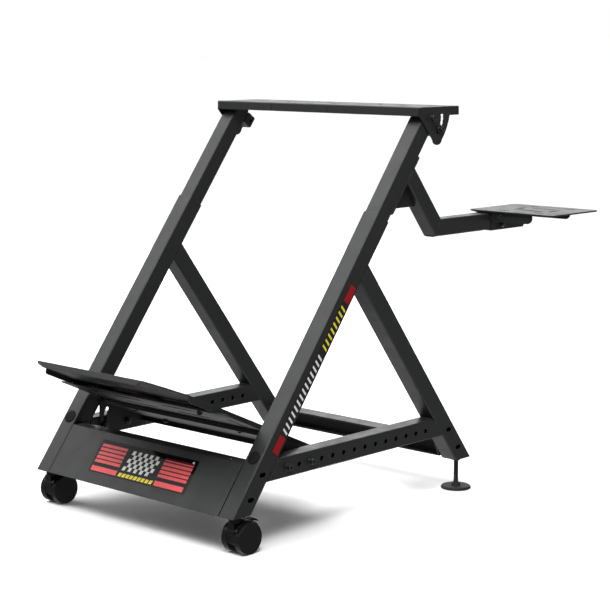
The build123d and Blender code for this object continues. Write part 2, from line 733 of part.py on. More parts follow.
with BuildPart() as angle_bolts:
    for side in (-1, 1):
        face = outward_plane(side * (PLATE_HALF + GAP), side)
        bolt(face, at(side, *ANGLE_POINT), HEAD_REACH, **ANGLE_BOLT)
save(angle_bolts, "angle_bolts")

# ---------------------------------------------------------------- wheel plate

with BuildPart() as wheel_plate:
    with BuildSketch(level_plane(PLATE_TOP)):
        with Locations((0, PLATE_MID_Y)):
            Rectangle(2 * PLATE_HALF, PLATE_BACK_Y - PLATE_FRONT_Y)
    extrude(amount=-PLATE_SKIRT)
    fillet(wheel_plate.edges().filter_by(Axis.Z), SHEET)
    fillet(wheel_plate.faces().sort_by(Axis.Z)[-1].edges(), SHEET - 0.5)
    with BuildSketch(level_plane(PLATE_TOP - SHEET)):
        with Locations((0, PLATE_MID_Y)):
            RectangleRounded(2 * (PLATE_HALF - SHEET), PLATE_BACK_Y - PLATE_FRONT_Y - 2 * SHEET, SHEET)
    extrude(amount=-PLATE_SKIRT, mode=Mode.SUBTRACT)
    for side in (-1, 1):
        with BuildSketch(side_plane(side * (PLATE_HALF - SHEET / 2))):
            with BuildLine():
                Line(EAR_FRONT, EAR_TIP[0])
                ThreePointArc(*EAR_TIP)
                ThreePointArc(EAR_TIP[-1], *EAR_BACK)
                Line(EAR_BACK[-1], EAR_FRONT)
            make_face()
        extrude(amount=SHEET / 2, both=True)
    with BuildSketch(side_plane(0)):
        with Locations((PIVOT_Y, PIVOT_Z)):
            Circle(BOLT_R + FIT)
        add(
            lobed_slot(
                (PIVOT_Y, PIVOT_Z), TILT_ARM, TILT_LOBES, TILT_STEP, TILT_AT, BOLT_R + GAP, TILT_LOBE_R
            )
        )
    extrude(amount=OUTSIDE_X + TUBE, both=True, mode=Mode.SUBTRACT)
    slots(level_plane(PLATE_TOP), WHEEL_SLOTS, 2 * SHEET)
    with BuildSketch(level_plane(PLATE_TOP)):
        with Locations(*((side * WHEEL_HOLE_X, y) for side in (-1, 1) for y in WHEEL_ROWS_Y)):
            Circle(WHEEL_HOLE_R)
        with Locations((0, PLATE_MID_Y)):
            SlotOverall(CABLE_SLOT_LENGTH, CABLE_SLOT_WIDTH)
    extrude(amount=-2 * SHEET, mode=Mode.SUBTRACT)
save(wheel_plate, "wheel_plate")

# ---------------------------------------------------------------- shifter arm

knee_plane = Plane(
    origin=(MID_X + ARM_X, FRONT_Y + ARM_KNEE_Y, ARM_TOP),
    x_dir=(1, 0, 0),
    z_dir=(0, cos(ARM_DROP / 2), -sin(ARM_DROP / 2)),
)
saddle_face = post_face(TUBE_X, SADDLE_BACK_V)

with BuildPart() as arm_saddle:
    with BuildSketch(post_face(TUBE_X, POST_BACK_V)):
        with Locations((0, (SADDLE_LOW + SADDLE_HIGH) / 2)):
            RectangleRounded(INNER, SADDLE_HIGH - SADDLE_LOW, 4)
        with Locations(*SADDLE_BOLTS):
            Circle(SMALL_R + FIT, mode=Mode.SUBTRACT)
    extrude(amount=-SADDLE_SHEET)
save(arm_saddle, "arm_saddle")

strut_start_y = (ARM_KNEE_Y + KNEE_LOW_Y) / 2 + ARM * cos(ARM_DROP)
strut_start_z = ARM_MID - ARM * sin(ARM_DROP)
with BuildPart() as arm_strut:
    start = across(ARM_X, strut_start_y, strut_start_z, -cos(ARM_DROP), sin(ARM_DROP))
    square_tube(start, ARM, CORNER, ARM_SHEET, STRUT_REACH)
    split(bisect_by=knee_plane, keep=Keep.BOTTOM)
    split(bisect_by=saddle_face, keep=Keep.BOTTOM)
save(arm_strut, "arm_strut")

with BuildPart() as arm_rail:
    arm_end = across(ARM_X, ARM_END_Y, ARM_MID, -1, 0)
    square_tube(arm_end, ARM, CORNER, ARM_SHEET, ARM_END_Y - KNEE_LOW_Y + ARM)
    split(bisect_by=knee_plane, keep=Keep.TOP)
save(arm_rail, "arm_rail")

# The gusset fills the corner between the saddle and the strut's lower face
gusset_back_y = KNEE_LOW_Y - (GUSSET_Z - ARM_LOW) / tan(ARM_DROP)
gusset_front_y = (SADDLE_BACK_V + (GUSSET_Z - POST_BOTTOM) * sin(POST_LEAN)) / cos(POST_LEAN)
gusset_rise = (gusset_back_y - gusset_front_y) / (tan(POST_LEAN) + 1 / tan(ARM_DROP))
gusset_top = (gusset_back_y - gusset_rise / tan(ARM_DROP), GUSSET_Z + gusset_rise)
with BuildPart() as arm_gusset:
    with BuildSketch(side_plane(ARM_X)):
        Polygon(gusset_top, (gusset_front_y, GUSSET_Z), (gusset_back_y, GUSSET_Z), align=None)
    extrude(amount=SADDLE_SHEET / 2, both=True)
save(arm_gusset, "arm_gusset")

with BuildPart() as arm_end_cap:
    with BuildSketch(front_plane(ARM_END_Y)):
        with Locations((ARM_X, ARM_MID)):
            RectangleRounded(ARM, ARM, CORNER)
    extrude(amount=-CAP_SHEET)
    fillet(arm_end_cap.faces().sort_by(Axis.Y)[-1].edges(), 1.2)
    with BuildSketch(front_plane(ARM_END_Y)):
        with Locations((ARM_X, ARM_MID)):
            RectangleRounded(ARM - 2 * ARM_SHEET, ARM - 2 * ARM_SHEET, CORNER - ARM_SHEET)
    extrude(amount=CAP_PLUG)
save(arm_end_cap, "arm_end_cap")

with BuildPart() as saddle_bolts:
    backwards = Plane(origin=saddle_face.origin, x_dir=(-1, 0, 0), z_dir=-saddle_face.z_dir)
    for x, u in SADDLE_BOLTS:
        bolt(backwards, (-x, u), SADDLE_SHEET + SADDLE_GRIP, **SMALL_BOLT)
save(saddle_bolts, "saddle_bolts")

with BuildPart() as saddle_nuts:
    for centre in SADDLE_BOLTS:
        nut(post_face(TUBE_X, POST_BACK_V - WALL), centre, SMALL_NUT_THICK, SMALL_R, SMALL_NUT_ACROSS)
save(saddle_nuts, "saddle_nuts")

# -------------------------------------------------------------- shifter plate

with BuildPart() as shifter_plate:
    with BuildSketch(level_plane(SHIFTER_TOP)):
        with Locations((SHIFTER_MID_X, SHIFTER_MID_Y)):
            RectangleRounded(SHIFTER_RIGHT - SHIFTER_LEFT, SHIFTER_BACK_Y - SHIFTER_FRONT_Y, SHIFTER_CORNER)
    extrude(amount=-SHEET)
    for y in SHIFTER_RIBS_Y:
        with BuildSketch(front_plane(y)) as rib:
            Polygon(
                (RIB_LEFT, SHIFTER_TOP - SHEET / 2),
                (RIB_LEFT, ARM_TOP + 0.5),
                (RIB_INNER, ARM_TOP + 0.5),
                (RIB_INNER, RIB_LOW),
                (RIB_RIGHT, RIB_LOW),
                (RIB_RIGHT, SHIFTER_TOP - SHEET / 2),
                align=None,
            )
            fillet(rib.vertices().group_by(Axis.X)[-1].sort_by(Axis.Y)[0], RIB_CORNER)
            with Locations(RIB_HOLE):
                Circle(BOLT_R + FIT, mode=Mode.SUBTRACT)
        extrude(amount=-SHEET)
    slot_table = [(x, SHIFTER_MID_Y + y, *size) for x, y, *size in SHIFTER_SLOTS]
    slots(level_plane(SHIFTER_TOP), slot_table, 2 * SHEET, middle=SHIFTER_SLOT_X, mirrored=False)
save(shifter_plate, "shifter_plate")

with BuildPart() as shifter_clamp:
    with BuildSketch(front_plane(SLEEVE_START_Y)):
        with BuildLine():
            Polyline(
                (ARM_X, ARM_LOW - GAP),
                (ARM_X + SLEEVE_IN, ARM_LOW - GAP),
                (ARM_X + SLEEVE_IN, SHIFTER_UNDER),
                (ARM_X + SLEEVE_OUT + SLEEVE_FLANGE, SHIFTER_UNDER),
                (ARM_X + SLEEVE_OUT + SLEEVE_FLANGE, SHIFTER_UNDER - SLEEVE_SHEET),
                (ARM_X + SLEEVE_OUT, SHIFTER_UNDER - SLEEVE_SHEET),
                (ARM_X + SLEEVE_OUT, ARM_LOW - GAP - SLEEVE_SHEET),
                (ARM_X, ARM_LOW - GAP - SLEEVE_SHEET),
            )
            mirror(about=Plane.YZ.offset(ARM_X))
        make_face()
    extrude(amount=SLEEVE_START_Y - SLEEVE_END_Y)
    fillet(shifter_clamp.edges().filter_by(Axis.Y).group_by(Axis.Z)[0], SLEEVE_SHEET)
    disc(side_plane(ARM_X + SLEEVE_OUT), SLEEVE_SCREW, 2 * SMALL_R, SLEEVE_BOSS)
    bore(side_plane(ARM_X + SLEEVE_OUT), SLEEVE_SCREW, SMALL_R + FIT, 2 * SLEEVE_BOSS, both=True)
    for centre in SLEEVE_STUDS:
        bore(level_plane(SHIFTER_UNDER), centre, SMALL_R + FIT, -2 * SLEEVE_SHEET)
save(shifter_clamp, "shifter_clamp")

with BuildPart() as shifter_pad:
    with BuildSketch(level_plane(ARM_TOP + GAP)):
        with Locations((ARM_X, SLEEVE_MID_Y)):
            Rectangle(ARM - 1, PAD_LENGTH)
    extrude(amount=SHIFTER_UNDER - ARM_TOP - GAP)
save(shifter_pad, "shifter_pad")

with BuildPart() as shifter_studs:
    for centre in SLEEVE_STUDS:
        disc(level_plane(SHIFTER_UNDER), centre, SMALL_R, -SLEEVE_SHEET - STUD_SPARE)
save(shifter_studs, "shifter_studs")

with BuildPart() as shifter_nuts:
    for centre in SLEEVE_STUDS:
        nut_low = level_plane(SHIFTER_UNDER - SLEEVE_SHEET - SMALL_NUT_THICK)
        nut(nut_low, centre, SMALL_NUT_THICK, SMALL_R, SMALL_NUT_ACROSS)
save(shifter_nuts, "shifter_nuts")

with BuildPart() as shifter_lock_screw:
    boss_face = side_plane(ARM_X + SLEEVE_OUT + SLEEVE_BOSS)
    disc(boss_face, SLEEVE_SCREW, SMALL_R, -SLEEVE_BOSS - SLEEVE_SHEET)
    disc(boss_face, SLEEVE_SCREW, SMALL_BOLT["head_r"], SMALL_BOLT["head"], taper=SMALL_BOLT["taper"])
save(shifter_lock_screw, "shifter_lock_screw")

# ----------------------------------------------------------------- pedal deck

deck_studs_at = [(side * DECK_STUD_X, s) for side in (-1, 1) for s in DECK_ROWS]
# How deep each row's nuts sit, and what its spacers rest on
NUT_DEPTH = dict(zip(DECK_ROWS, (TRAY_DEPTH + SHEET, BASE_DEPTH + SHEET, BASE_DEPTH + SHEET)))
SPACER_DEPTH = dict(zip(DECK_ROWS, (TRAY_DEPTH, TRAY_DEPTH, BASE_DEPTH)))

with BuildPart() as pedal_plate:
    with BuildSketch(deck_plane()):
        with BuildLine():
            Line((0, 0), (DECK_FRONT_HALF, 0))
            Spline(
                (DECK_FRONT_HALF, 0),
                *DECK_SHOULDER,
                (DECK_HALF, FLANGE_START),
                tangents=((1, 0.4), (0, 1)),
            )
            Polyline((DECK_HALF, FLANGE_START), (DECK_HALF, DECK_LENGTH), (0, DECK_LENGTH))
            mirror(about=Plane.YZ)
        make_face()
    extrude(amount=-SHEET)
    with BuildSketch(deck_cross(0)):
        Polygon(
            (-DECK_FRONT_HALF + SHEET, 0),
            (DECK_FRONT_HALF - SHEET, 0),
            (DECK_LIP_HALF, -DECK_LIP),
            (-DECK_LIP_HALF, -DECK_LIP),
            align=None,
        )
    extrude(amount=-SHEET)
    for side in (-1, 1):
        with BuildSketch(deck_side(side * (DECK_HALF - SHEET / 2))) as flange:
            Polygon(
                (FLANGE_START, -SHEET / 2),
                (DECK_LENGTH, -SHEET / 2),
                (DECK_LENGTH, -DECK_EDGE),
                (FLANGE_STEP + 3, -DECK_EDGE),
                (FLANGE_STEP, -FLANGE_DEEP),
                (FLANGE_START, -FLANGE_DEEP),
                align=None,
            )
            fillet(flange.vertices().group_by(Axis.X)[0].sort_by(Axis.Y)[0], FLANGE_DEEP / 2)
        extrude(amount=SHEET / 2, both=True)
    with BuildSketch(deck_cross(DECK_LENGTH)):
        with Locations((0, -DECK_EDGE / 2)):
            Rectangle(2 * DECK_HALF, DECK_EDGE)
    extrude(amount=SHEET)
    slots(deck_plane(), DECK_SLOTS, 2 * SHEET)
    with BuildSketch(deck_plane()):
        with Locations(*((0, s) for s in DECK_MIDDLE_SLOTS)):
            SlotOverall(DECK_MIDDLE_SLOT_LENGTH, DECK_MIDDLE_SLOT_WIDTH)
    extrude(amount=-2 * SHEET, mode=Mode.SUBTRACT)
save(pedal_plate, "pedal_plate")

with BuildPart() as pedal_tray:
    with BuildSketch(deck_plane(TRAY_DEPTH)):
        with Locations((0, (TRAY_START + TRAY_END) / 2)):
            RectangleRounded(2 * TRAY_HALF, TRAY_END - TRAY_START, 4)
        with Locations(*(point for point in deck_studs_at if point[1] < TRAY_END)):
            Circle(SMALL_R + FIT, mode=Mode.SUBTRACT)
    extrude(amount=-SHEET)
    slots(deck_plane(TRAY_DEPTH), TRAY_SLOTS, 2 * SHEET)
save(pedal_tray, "pedal_tray")

wall_front_y, wall_front_z = deck_point(BASE_START, BASE_DEPTH)
wall_back_y, wall_back_z = deck_point(BASE_END, BASE_DEPTH)

with BuildPart() as pedal_base:
    with BuildSketch(deck_plane(BASE_DEPTH)):
        with Locations((0, (BASE_START + BASE_END) / 2)):
            Rectangle(2 * BASE_HALF, BASE_END - BASE_START)
        with Locations(*(point for point in deck_studs_at if point[1] > BASE_START)):
            Circle(SMALL_R + FIT, mode=Mode.SUBTRACT)
    extrude(amount=-SHEET)
    for side in (-1, 1):
        with BuildSketch(side_plane(side * (BASE_HALF - SHEET / 2))):
            Polygon(
                (wall_front_y, BASE_WALL_LOW),
                (wall_front_y, wall_front_z),
                (wall_back_y, wall_back_z),
                (wall_back_y, BASE_WALL_LOW + BASE_CHAMFER[1]),
                (wall_back_y - BASE_CHAMFER[0], BASE_WALL_LOW),
                align=None,
            )
        extrude(amount=SHEET / 2, both=True)
    with BuildSketch(side_plane(0)):
        pivot = (DECK_PIVOT_Y, RAIL_MID)
        with Locations(pivot):
            Circle(BOLT_R + FIT)
        add(lobed_slot(pivot, 2 * HOLE_PITCH, DECK_LOBES, -DECK_STEP, 180, BOLT_R + GAP, DECK_LOBE_R))
    extrude(amount=INSIDE_X, both=True, mode=Mode.SUBTRACT)
    for s, lip in ((BASE_END, BASE_LIP), (BASE_START + SHEET, BASE_FRONT_LIP)):
        with BuildSketch(deck_cross(s, BASE_DEPTH)):
            with Locations((0, -(SHEET + lip) / 2)):
                Rectangle(2 * (BASE_HALF - SHEET / 2), SHEET + lip)
        extrude(amount=SHEET)
save(pedal_base, "pedal_base")

with BuildPart() as deck_studs:
    for x, s in deck_studs_at:
        disc(deck_plane(SHEET), (x, s), SMALL_R, SHEET - NUT_DEPTH[s] - STUD_SPARE)
save(deck_studs, "deck_studs")

with BuildPart() as deck_spacers:
    for x, s in deck_studs_at:
        with BuildSketch(deck_plane(SHEET)) as ring:
            with Locations((x, s)):
                Circle(SPACER_R)
                Circle(SMALL_R, mode=Mode.SUBTRACT)
        extrude(ring.sketch, amount=SHEET - SPACER_DEPTH[s])
save(deck_spacers, "deck_spacers")

with BuildPart() as deck_nuts:
    for x, s in deck_studs_at:
        nut_low = deck_plane(NUT_DEPTH[s] + SMALL_NUT_THICK)
        nut(nut_low, (x, s), SMALL_NUT_THICK, SMALL_R, SMALL_NUT_ACROSS)
save(deck_nuts, "deck_nuts")

with BuildPart() as rail_bolts:
    for side in (-1, 1):
        head = outward_plane(side * (OUTSIDE_X + 0.1), side)
        for y, z in RAIL_BOLT_POINTS:
            bolt(head, at(side, y, z), OUTSIDE_X - RAIL_NUT_X + 9, **CAP_BOLT)
save(rail_bolts, "rail_bolts")

with BuildPart() as rail_nuts:
    for side in (-1, 1):
        face = outward_plane(side * (RAIL_NUT_X - NUT_THICK), side)
        for y, z in RAIL_BOLT_POINTS:
            nut(face, at(side, y, z), NUT_THICK, BOLT_R, NUT_ACROSS)
save(rail_nuts, "rail_nuts")

# -------------------------------------------------------------------- casters


def caster_body(name, x):
    """The moulded body of a twin-wheel caster, trailing behind its stem."""
    with BuildPart() as body:
        with BuildSketch(side_plane(x)) as core:
            Polygon(
                (CORE_FRONT_Y, 24),
                (CORE_FRONT_Y, CORE_TOP),
                (STEM_Y + 11, CORE_TOP),
                (LEVER_Y - 3, LEVER_Z - 2),
                (LEVER_Y + 6, 48),
                (LEVER_Y, 24),
                (WHEEL_Y, CORE_LOW),
                (CORE_FRONT_Y + 10, CORE_LOW),
                align=None,
            )
        extrude(core.sketch, amount=CORE_HALF, both=True)
        with BuildSketch(side_plane(x)) as hood:
            with BuildLine():
                angles = (HOOD_REAR, (HOOD_REAR + HOOD_FRONT) / 2, HOOD_FRONT)
                outer = ThreePointArc(*(polar(WHEEL_Y, WHEEL_R, HOOD_OUT, a) for a in angles))
                inner = ThreePointArc(*(polar(WHEEL_Y, WHEEL_R, HOOD_IN, a) for a in angles))
                Line(outer @ 0, inner @ 0)
                Line(outer @ 1, inner @ 1)
            make_face()
        extrude(hood.sketch, amount=HOOD_HALF, both=True)
        disc(level_plane(CORE_TOP - 0.5), (x, STEM_Y), NECK_R, NECK_TOP - CORE_TOP + 0.5)
        with BuildSketch(side_plane(x)) as lug:
            with Locations((LEVER_Y, LEVER_Z - 6)):
                Rectangle(7, 12)
            with Locations((LEVER_Y, LEVER_Z)):
                Circle(3.5)
        extrude(lug.sketch, amount=CORE_HALF, both=True)
        with BuildSketch(side_plane(x)) as gap:
            with Locations((LEVER_Y + 1.8, LEVER_Z)):
                Rectangle(12.4, 8.8)
        extrude(gap.sketch, amount=LEVER_GAP, both=True, mode=Mode.SUBTRACT)
        bore(level_plane(STEM_LOW - GAP), (x, STEM_Y), STEM_R + FIT, TUBE)
        bore(side_plane(x), (WHEEL_Y, WHEEL_R), AXLE_R, TUBE, both=True)
        bore(side_plane(x), (LEVER_Y, LEVER_Z), LEVER_PIN_R, TUBE, both=True)
    save(body, name)


def caster_wheel(name, x, side):
    """One plain disc wheel of the twin, with a blind bore for its end of the axle."""
    inner_face = outward_plane(x + side * WHEEL_INNER_X, side)
    centre = at(side, WHEEL_Y, WHEEL_R)
    with BuildPart() as wheel:
        disc(inner_face, centre, WHEEL_R, WHEEL_OUTER_X - WHEEL_INNER_X)
        fillet(wheel.edges().filter_by(GeomType.CIRCLE), WHEEL_RIM)
        bore(inner_face, centre, AXLE_R + FIT, AXLE_HALF + GAP - WHEEL_INNER_X)
    save(wheel, name)


def caster_axle(name, x):
    """The wheels' axle and the brake lever's pin."""
    with BuildPart() as axle:
        for centre, radius, reach in (
            ((WHEEL_Y, WHEEL_R), AXLE_R, AXLE_HALF),
            ((LEVER_Y, LEVER_Z), LEVER_PIN_R, CORE_HALF),
        ):
            with BuildSketch(side_plane(x)) as rod:
                with Locations(centre):
                    Circle(radius)
            extrude(rod.sketch, amount=reach, both=True)
    save(axle, name)


def caster_brake(name, x):
    """The short foot lever behind the hood, with its tip turned down."""
    with BuildPart() as lever:
        with BuildSketch(side_plane(x)) as stalk:
            with Locations((LEVER_Y, LEVER_Z)):
                Circle(LEVER_EYE_R)
            Polygon(*LEVER_STALK, align=None)
        extrude(stalk.sketch, amount=LEVER_HALF, both=True)
        with BuildSketch(side_plane(x)) as tip:
            Polygon(*LEVER_TIP, align=None)
        extrude(tip.sketch, amount=LEVER_TIP_HALF, both=True)
        bore(side_plane(x), (LEVER_Y, LEVER_Z), LEVER_PIN_R + FIT, CORE_HALF, both=True)
    save(lever, name)


for label, side in SIDES:
    x = side * TUBE_X
    caster_body(f"{label}_caster_body", x)
    caster_axle(f"{label}_caster_axle", x)
    caster_brake(f"{label}_caster_brake", x)
    caster_wheel(f"{label}_caster_wheel_right", x, 1)
    caster_wheel(f"{label}_caster_wheel_left", x, -1)

with BuildPart() as caster_stems:
    for side in (-1, 1):
        centre = (side * TUBE_X, STEM_Y)
        disc(level_plane(STEM_LOW), centre, STEM_R, POST_BOTTOM - STEM_LOW + STEM_ABOVE)
        disc(level_plane(POST_BOTTOM), centre, STEM_FLANGE_R, -STEM_FLANGE)
save(caster_stems, "caster_stems")

with BuildPart() as caster_nuts:
    for side in (-1, 1):
        plate_top = level_plane(POST_BOTTOM + SHEET)
        nut(plate_top, (side * TUBE_X, STEM_Y), STEM_NUT_THICK, STEM_R, STEM_NUT_ACROSS)
save(caster_nuts, "caster_nuts")

# ------------------------------------------------------------- levelling feet


def foot_pad(name, x):
    """A broad flat foot with a stepped rim and a boss for its stud."""
    origin = (MID_X + x, FRONT_Y + FOOT_Y, 0)
    with BuildPart() as pad:
        with BuildSketch(Plane(origin=origin, x_dir=(0, 1, 0), z_dir=(1, 0, 0))):
            Polygon(
                (0, 0),
                (FOOT_R - 1, 0),
                (FOOT_R, 1),
                (FOOT_R, FOOT_EDGE),
                (FOOT_R - FOOT_STEP, FOOT_EDGE),
                (FOOT_R - FOOT_STEP - 0.4, FOOT_TOP),
                (BOSS_R + 2, FOOT_TOP + 0.4),
                (BOSS_R, BOSS_TOP),
                (STUD_R, BOSS_TOP),
                (STUD_R, STUD_LOW),
                (0, STUD_LOW),
                align=None,
            )
        revolve(axis=Axis(origin, (0, 0, 1)))
    save(pad, name)


def foot_stud(name, x):
    """The threaded stud that lifts or lowers the leg."""
    with BuildPart() as stud:
        disc(level_plane(STUD_LOW), (x, FOOT_Y), STUD_R, STUD_TOP - STUD_LOW)
        chamfer(stud.edges().sort_by(Axis.Z)[-1], 1)
    save(stud, name)


for label, side in SIDES:
    foot_pad(f"{label}_foot_pad", side * TUBE_X)
    foot_stud(f"{label}_foot_stud", side * TUBE_X)

with BuildPart() as foot_nuts:
    for side in (-1, 1):
        plate_top = level_plane(LEG_BOTTOM + SHEET)
        nut(plate_top, (side * TUBE_X, FOOT_Y), FOOT_NUT_THICK, STUD_R + FIT, FOOT_NUT_ACROSS)
save(foot_nuts, "foot_nuts")

with BuildPart() as foot_lock_nuts:
    for side in (-1, 1):
        nut_low = level_plane(LEG_BOTTOM - FOOT_LOCK_THICK)
        nut(nut_low, (side * TUBE_X, FOOT_Y), FOOT_LOCK_THICK, STUD_R + FIT, FOOT_LOCK_ACROSS)
save(foot_lock_nuts, "foot_lock_nuts")
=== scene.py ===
"""Looks for the racing wheel stand: finishes, decals, seams, weld beads, stage, lights and camera."""

import json
from math import cos, pi, radians, sin

import bmesh
import bpy
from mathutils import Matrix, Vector


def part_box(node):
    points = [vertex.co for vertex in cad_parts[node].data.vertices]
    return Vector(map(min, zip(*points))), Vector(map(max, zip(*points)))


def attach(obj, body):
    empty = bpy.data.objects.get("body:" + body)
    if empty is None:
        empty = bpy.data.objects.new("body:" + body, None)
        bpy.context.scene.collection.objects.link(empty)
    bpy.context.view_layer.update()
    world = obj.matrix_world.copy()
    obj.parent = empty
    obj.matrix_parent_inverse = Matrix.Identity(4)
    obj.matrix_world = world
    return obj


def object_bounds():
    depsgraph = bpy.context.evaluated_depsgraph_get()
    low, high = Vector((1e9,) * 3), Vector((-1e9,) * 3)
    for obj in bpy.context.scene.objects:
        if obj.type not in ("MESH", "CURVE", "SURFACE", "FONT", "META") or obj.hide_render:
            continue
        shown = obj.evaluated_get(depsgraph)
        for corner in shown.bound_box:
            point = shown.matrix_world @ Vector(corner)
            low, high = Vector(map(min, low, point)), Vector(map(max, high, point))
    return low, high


MM = 0.001
THREAD_PITCH = 1.5 * MM

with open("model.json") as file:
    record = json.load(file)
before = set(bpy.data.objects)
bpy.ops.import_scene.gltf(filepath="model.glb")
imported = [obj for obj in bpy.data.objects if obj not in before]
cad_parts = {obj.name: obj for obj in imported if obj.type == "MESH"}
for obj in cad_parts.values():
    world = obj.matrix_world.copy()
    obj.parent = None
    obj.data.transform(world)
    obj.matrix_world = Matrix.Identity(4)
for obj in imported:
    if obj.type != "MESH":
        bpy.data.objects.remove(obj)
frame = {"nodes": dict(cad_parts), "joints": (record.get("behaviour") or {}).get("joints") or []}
cad_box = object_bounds()

# ---------------------------------------------------------------- measures from the frame

right_low, right_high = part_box("right_front_post")
left_low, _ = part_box("left_front_post")
MIDDLE_X = (left_low.x + right_high.x) / 2
TUBE = right_high.x - right_low.x
ORIGIN = Vector((MIDDLE_X, right_low.y, right_low.z))
UP_POST = Vector(next(joint["axis"] for joint in frame["joints"] if joint["name"] == "mast_slide"))
INTO_POST = Vector((0, UP_POST.z, -UP_POST.y))
ACROSS = Vector((1, 0, 0))


def post_point(x, u, v):
    """A point x metres off the middle plane, u up the posts' slope and v behind their front."""
    return ORIGIN + ACROSS * x + UP_POST * u + INTO_POST * v


# ---------------------------------------------------------------- finishes


class Finish:
    """A procedural material that is put together from a few named layers."""

    def __init__(self, name, metallic=0.0, specular=0.5):
        self.material = bpy.data.materials.new(name)
        self.material.use_nodes = True
        self.nodes = self.material.node_tree.nodes
        self.links = self.material.node_tree.links
        self.shader = self.nodes["Principled BSDF"]
        self.shader.inputs["Metallic"].default_value = metallic
        self.shader.inputs["Specular IOR Level"].default_value = specular
        self.place = self.nodes.new("ShaderNodeTexCoord").outputs["Object"]
        self.colour = None
        self.normal = None

    def noise(self, size, detail=3.0, stretch=None):
        """Noise whose features are about size metres across."""
        node = self.nodes.new("ShaderNodeTexNoise")
        node.inputs["Scale"].default_value = 1 / size
        node.inputs["Detail"].default_value = detail
        place = self.place
        if stretch:
            mapping = self.nodes.new("ShaderNodeMapping")
            mapping.inputs["Scale"].default_value = stretch
            self.links.new(self.place, mapping.inputs["Vector"])
            place = mapping.outputs["Vector"]
        self.links.new(place, node.inputs["Vector"])
        return node.outputs["Fac"]

    def cells(self, size):
        """Distance to the nearest of scattered points, for moulded grain."""
        node = self.nodes.new("ShaderNodeTexVoronoi")
        node.inputs["Scale"].default_value = 1 / size
        self.links.new(self.place, node.inputs["Vector"])
        return node.outputs["Distance"]

    def ramp(self, value, low, high, start=0.35, end=0.65):
        """Turns a 0 to 1 value into one between low and high."""
        node = self.nodes.new("ShaderNodeMapRange")
        node.inputs["From Min"].default_value = start
        node.inputs["From Max"].default_value = end
        node.inputs["To Min"].default_value = low
        node.inputs["To Max"].default_value = high
        self.links.new(value, node.inputs["Value"])
        return node.outputs["Result"]

    def blend(self, share, first, second):
        """Mixes two colours, each an RGB triple or a socket."""
        node = self.nodes.new("ShaderNodeMix")
        node.data_type = "RGBA"
        self.links.new(share, node.inputs["Factor"])
        for socket, value in ((node.inputs[6], first), (node.inputs[7], second)):
            if isinstance(value, tuple):
                socket.default_value = (*value, 1)
            else:
                self.links.new(value, socket)
        return node.outputs[2]

    def times(self, first, second):
        """Multiplies two values."""
        node = self.nodes.new("ShaderNodeMath")
        node.operation = "MULTIPLY"
        self.links.new(first, node.inputs[0])
        self.links.new(second, node.inputs[1])
        return node.outputs["Value"]

    def edges(self, radius):
        """Softens edges for shading and returns how close to an edge a point is."""
        bevel = self.nodes.new("ShaderNodeBevel")
        bevel.samples = 4
        bevel.inputs["Radius"].default_value = radius
        flat = self.nodes.new("ShaderNodeNewGeometry").outputs["Normal"]
        dot = self.nodes.new("ShaderNodeVectorMath")
        dot.operation = "DOT_PRODUCT"
        self.links.new(bevel.outputs["Normal"], dot.inputs[0])
        self.links.new(flat, dot.inputs[1])
        self.normal = bevel.outputs["Normal"]
        return self.ramp(dot.outputs["Value"], 1.0, 0.0, 0.82, 0.985)

    def bump(self, height, depth, strength=1.0):
        """Adds relief of a depth in metres on top of what is there."""
        node = self.nodes.new("ShaderNodeBump")
        node.inputs["Strength"].default_value = strength
        node.inputs["Distance"].default_value = depth
        self.links.new(height, node.inputs["Height"])
        if self.normal:
            self.links.new(self.normal, node.inputs["Normal"])
        self.normal = node.outputs["Normal"]

    def close(self, colour, roughness):
        """Plugs the finished layers into the shader."""
        self.links.new(colour, self.shader.inputs["Base Color"])
        self.links.new(roughness, self.shader.inputs["Roughness"])
        if self.normal:
            self.links.new(self.normal, self.shader.inputs["Normal"])
        return self.material


def powder_coat():
    """Satin dark grey powder coat: orange-peel grain, cloudy tone, and a painted highlight that makes its
    edges paler.
    """
    coat = Finish("powder_coat", specular=0.24)
    edge = coat.edges(1.1 * MM)
    # Painted highlight: the colour turns paler along the edges, in patches
    painted_edge_highlight = coat.times(edge, coat.ramp(coat.noise(14 * MM), 0.15, 1.0))
    cloud = coat.blend(coat.noise(90 * MM, 4.0), (0.0135, 0.0142, 0.0142), (0.0165, 0.0172, 0.0172))
    speck = coat.blend(coat.ramp(coat.noise(0.9 * MM, 2.0), 0, 0.3), cloud, (0.030, 0.031, 0.031))
    colour = coat.blend(painted_edge_highlight, speck, (0.065, 0.067, 0.067))
    coat.bump(coat.noise(1.6 * MM, 2.0), 0.10 * MM, 0.5)
    return coat.close(colour, coat.ramp(coat.noise(30 * MM), 0.37, 0.46))


def black_oxide():
    """Blackened steel for bolts, nuts and axles: oily sheen and bright worn corners."""
    steel = Finish("black_hardware", metallic=0.85)
    edge = steel.edges(0.5 * MM)
    worn = steel.times(edge, steel.ramp(steel.noise(3 * MM), 0.1, 0.8))
    tone = steel.blend(steel.noise(6 * MM), (0.035, 0.035, 0.037), (0.075, 0.074, 0.072))
    colour = steel.blend(worn, tone, (0.30, 0.30, 0.29))
    steel.bump(steel.noise(0.7 * MM), 0.04 * MM, 0.5)
    return steel.close(colour, steel.ramp(steel.noise(4 * MM), 0.28, 0.48))


def moulded(name, dark, pale, grain, depth, rough, specular=0.5):
    """Moulded plastic or rubber with a cell grain and uneven gloss."""
    plastic = Finish(name, specular=specular)
    edge = plastic.edges(0.8 * MM)
    tone = plastic.blend(plastic.noise(25 * MM, 4.0), dark, pale)
    rubbed = tuple(channel * 2.2 for channel in pale)
    colour = plastic.blend(plastic.times(edge, plastic.ramp(plastic.noise(8 * MM), 0.1, 0.8)), tone, rubbed)
    plastic.bump(plastic.cells(grain), depth, 0.5)
    return plastic.close(colour, plastic.ramp(plastic.noise(12 * MM), rough[0], rough[1]))


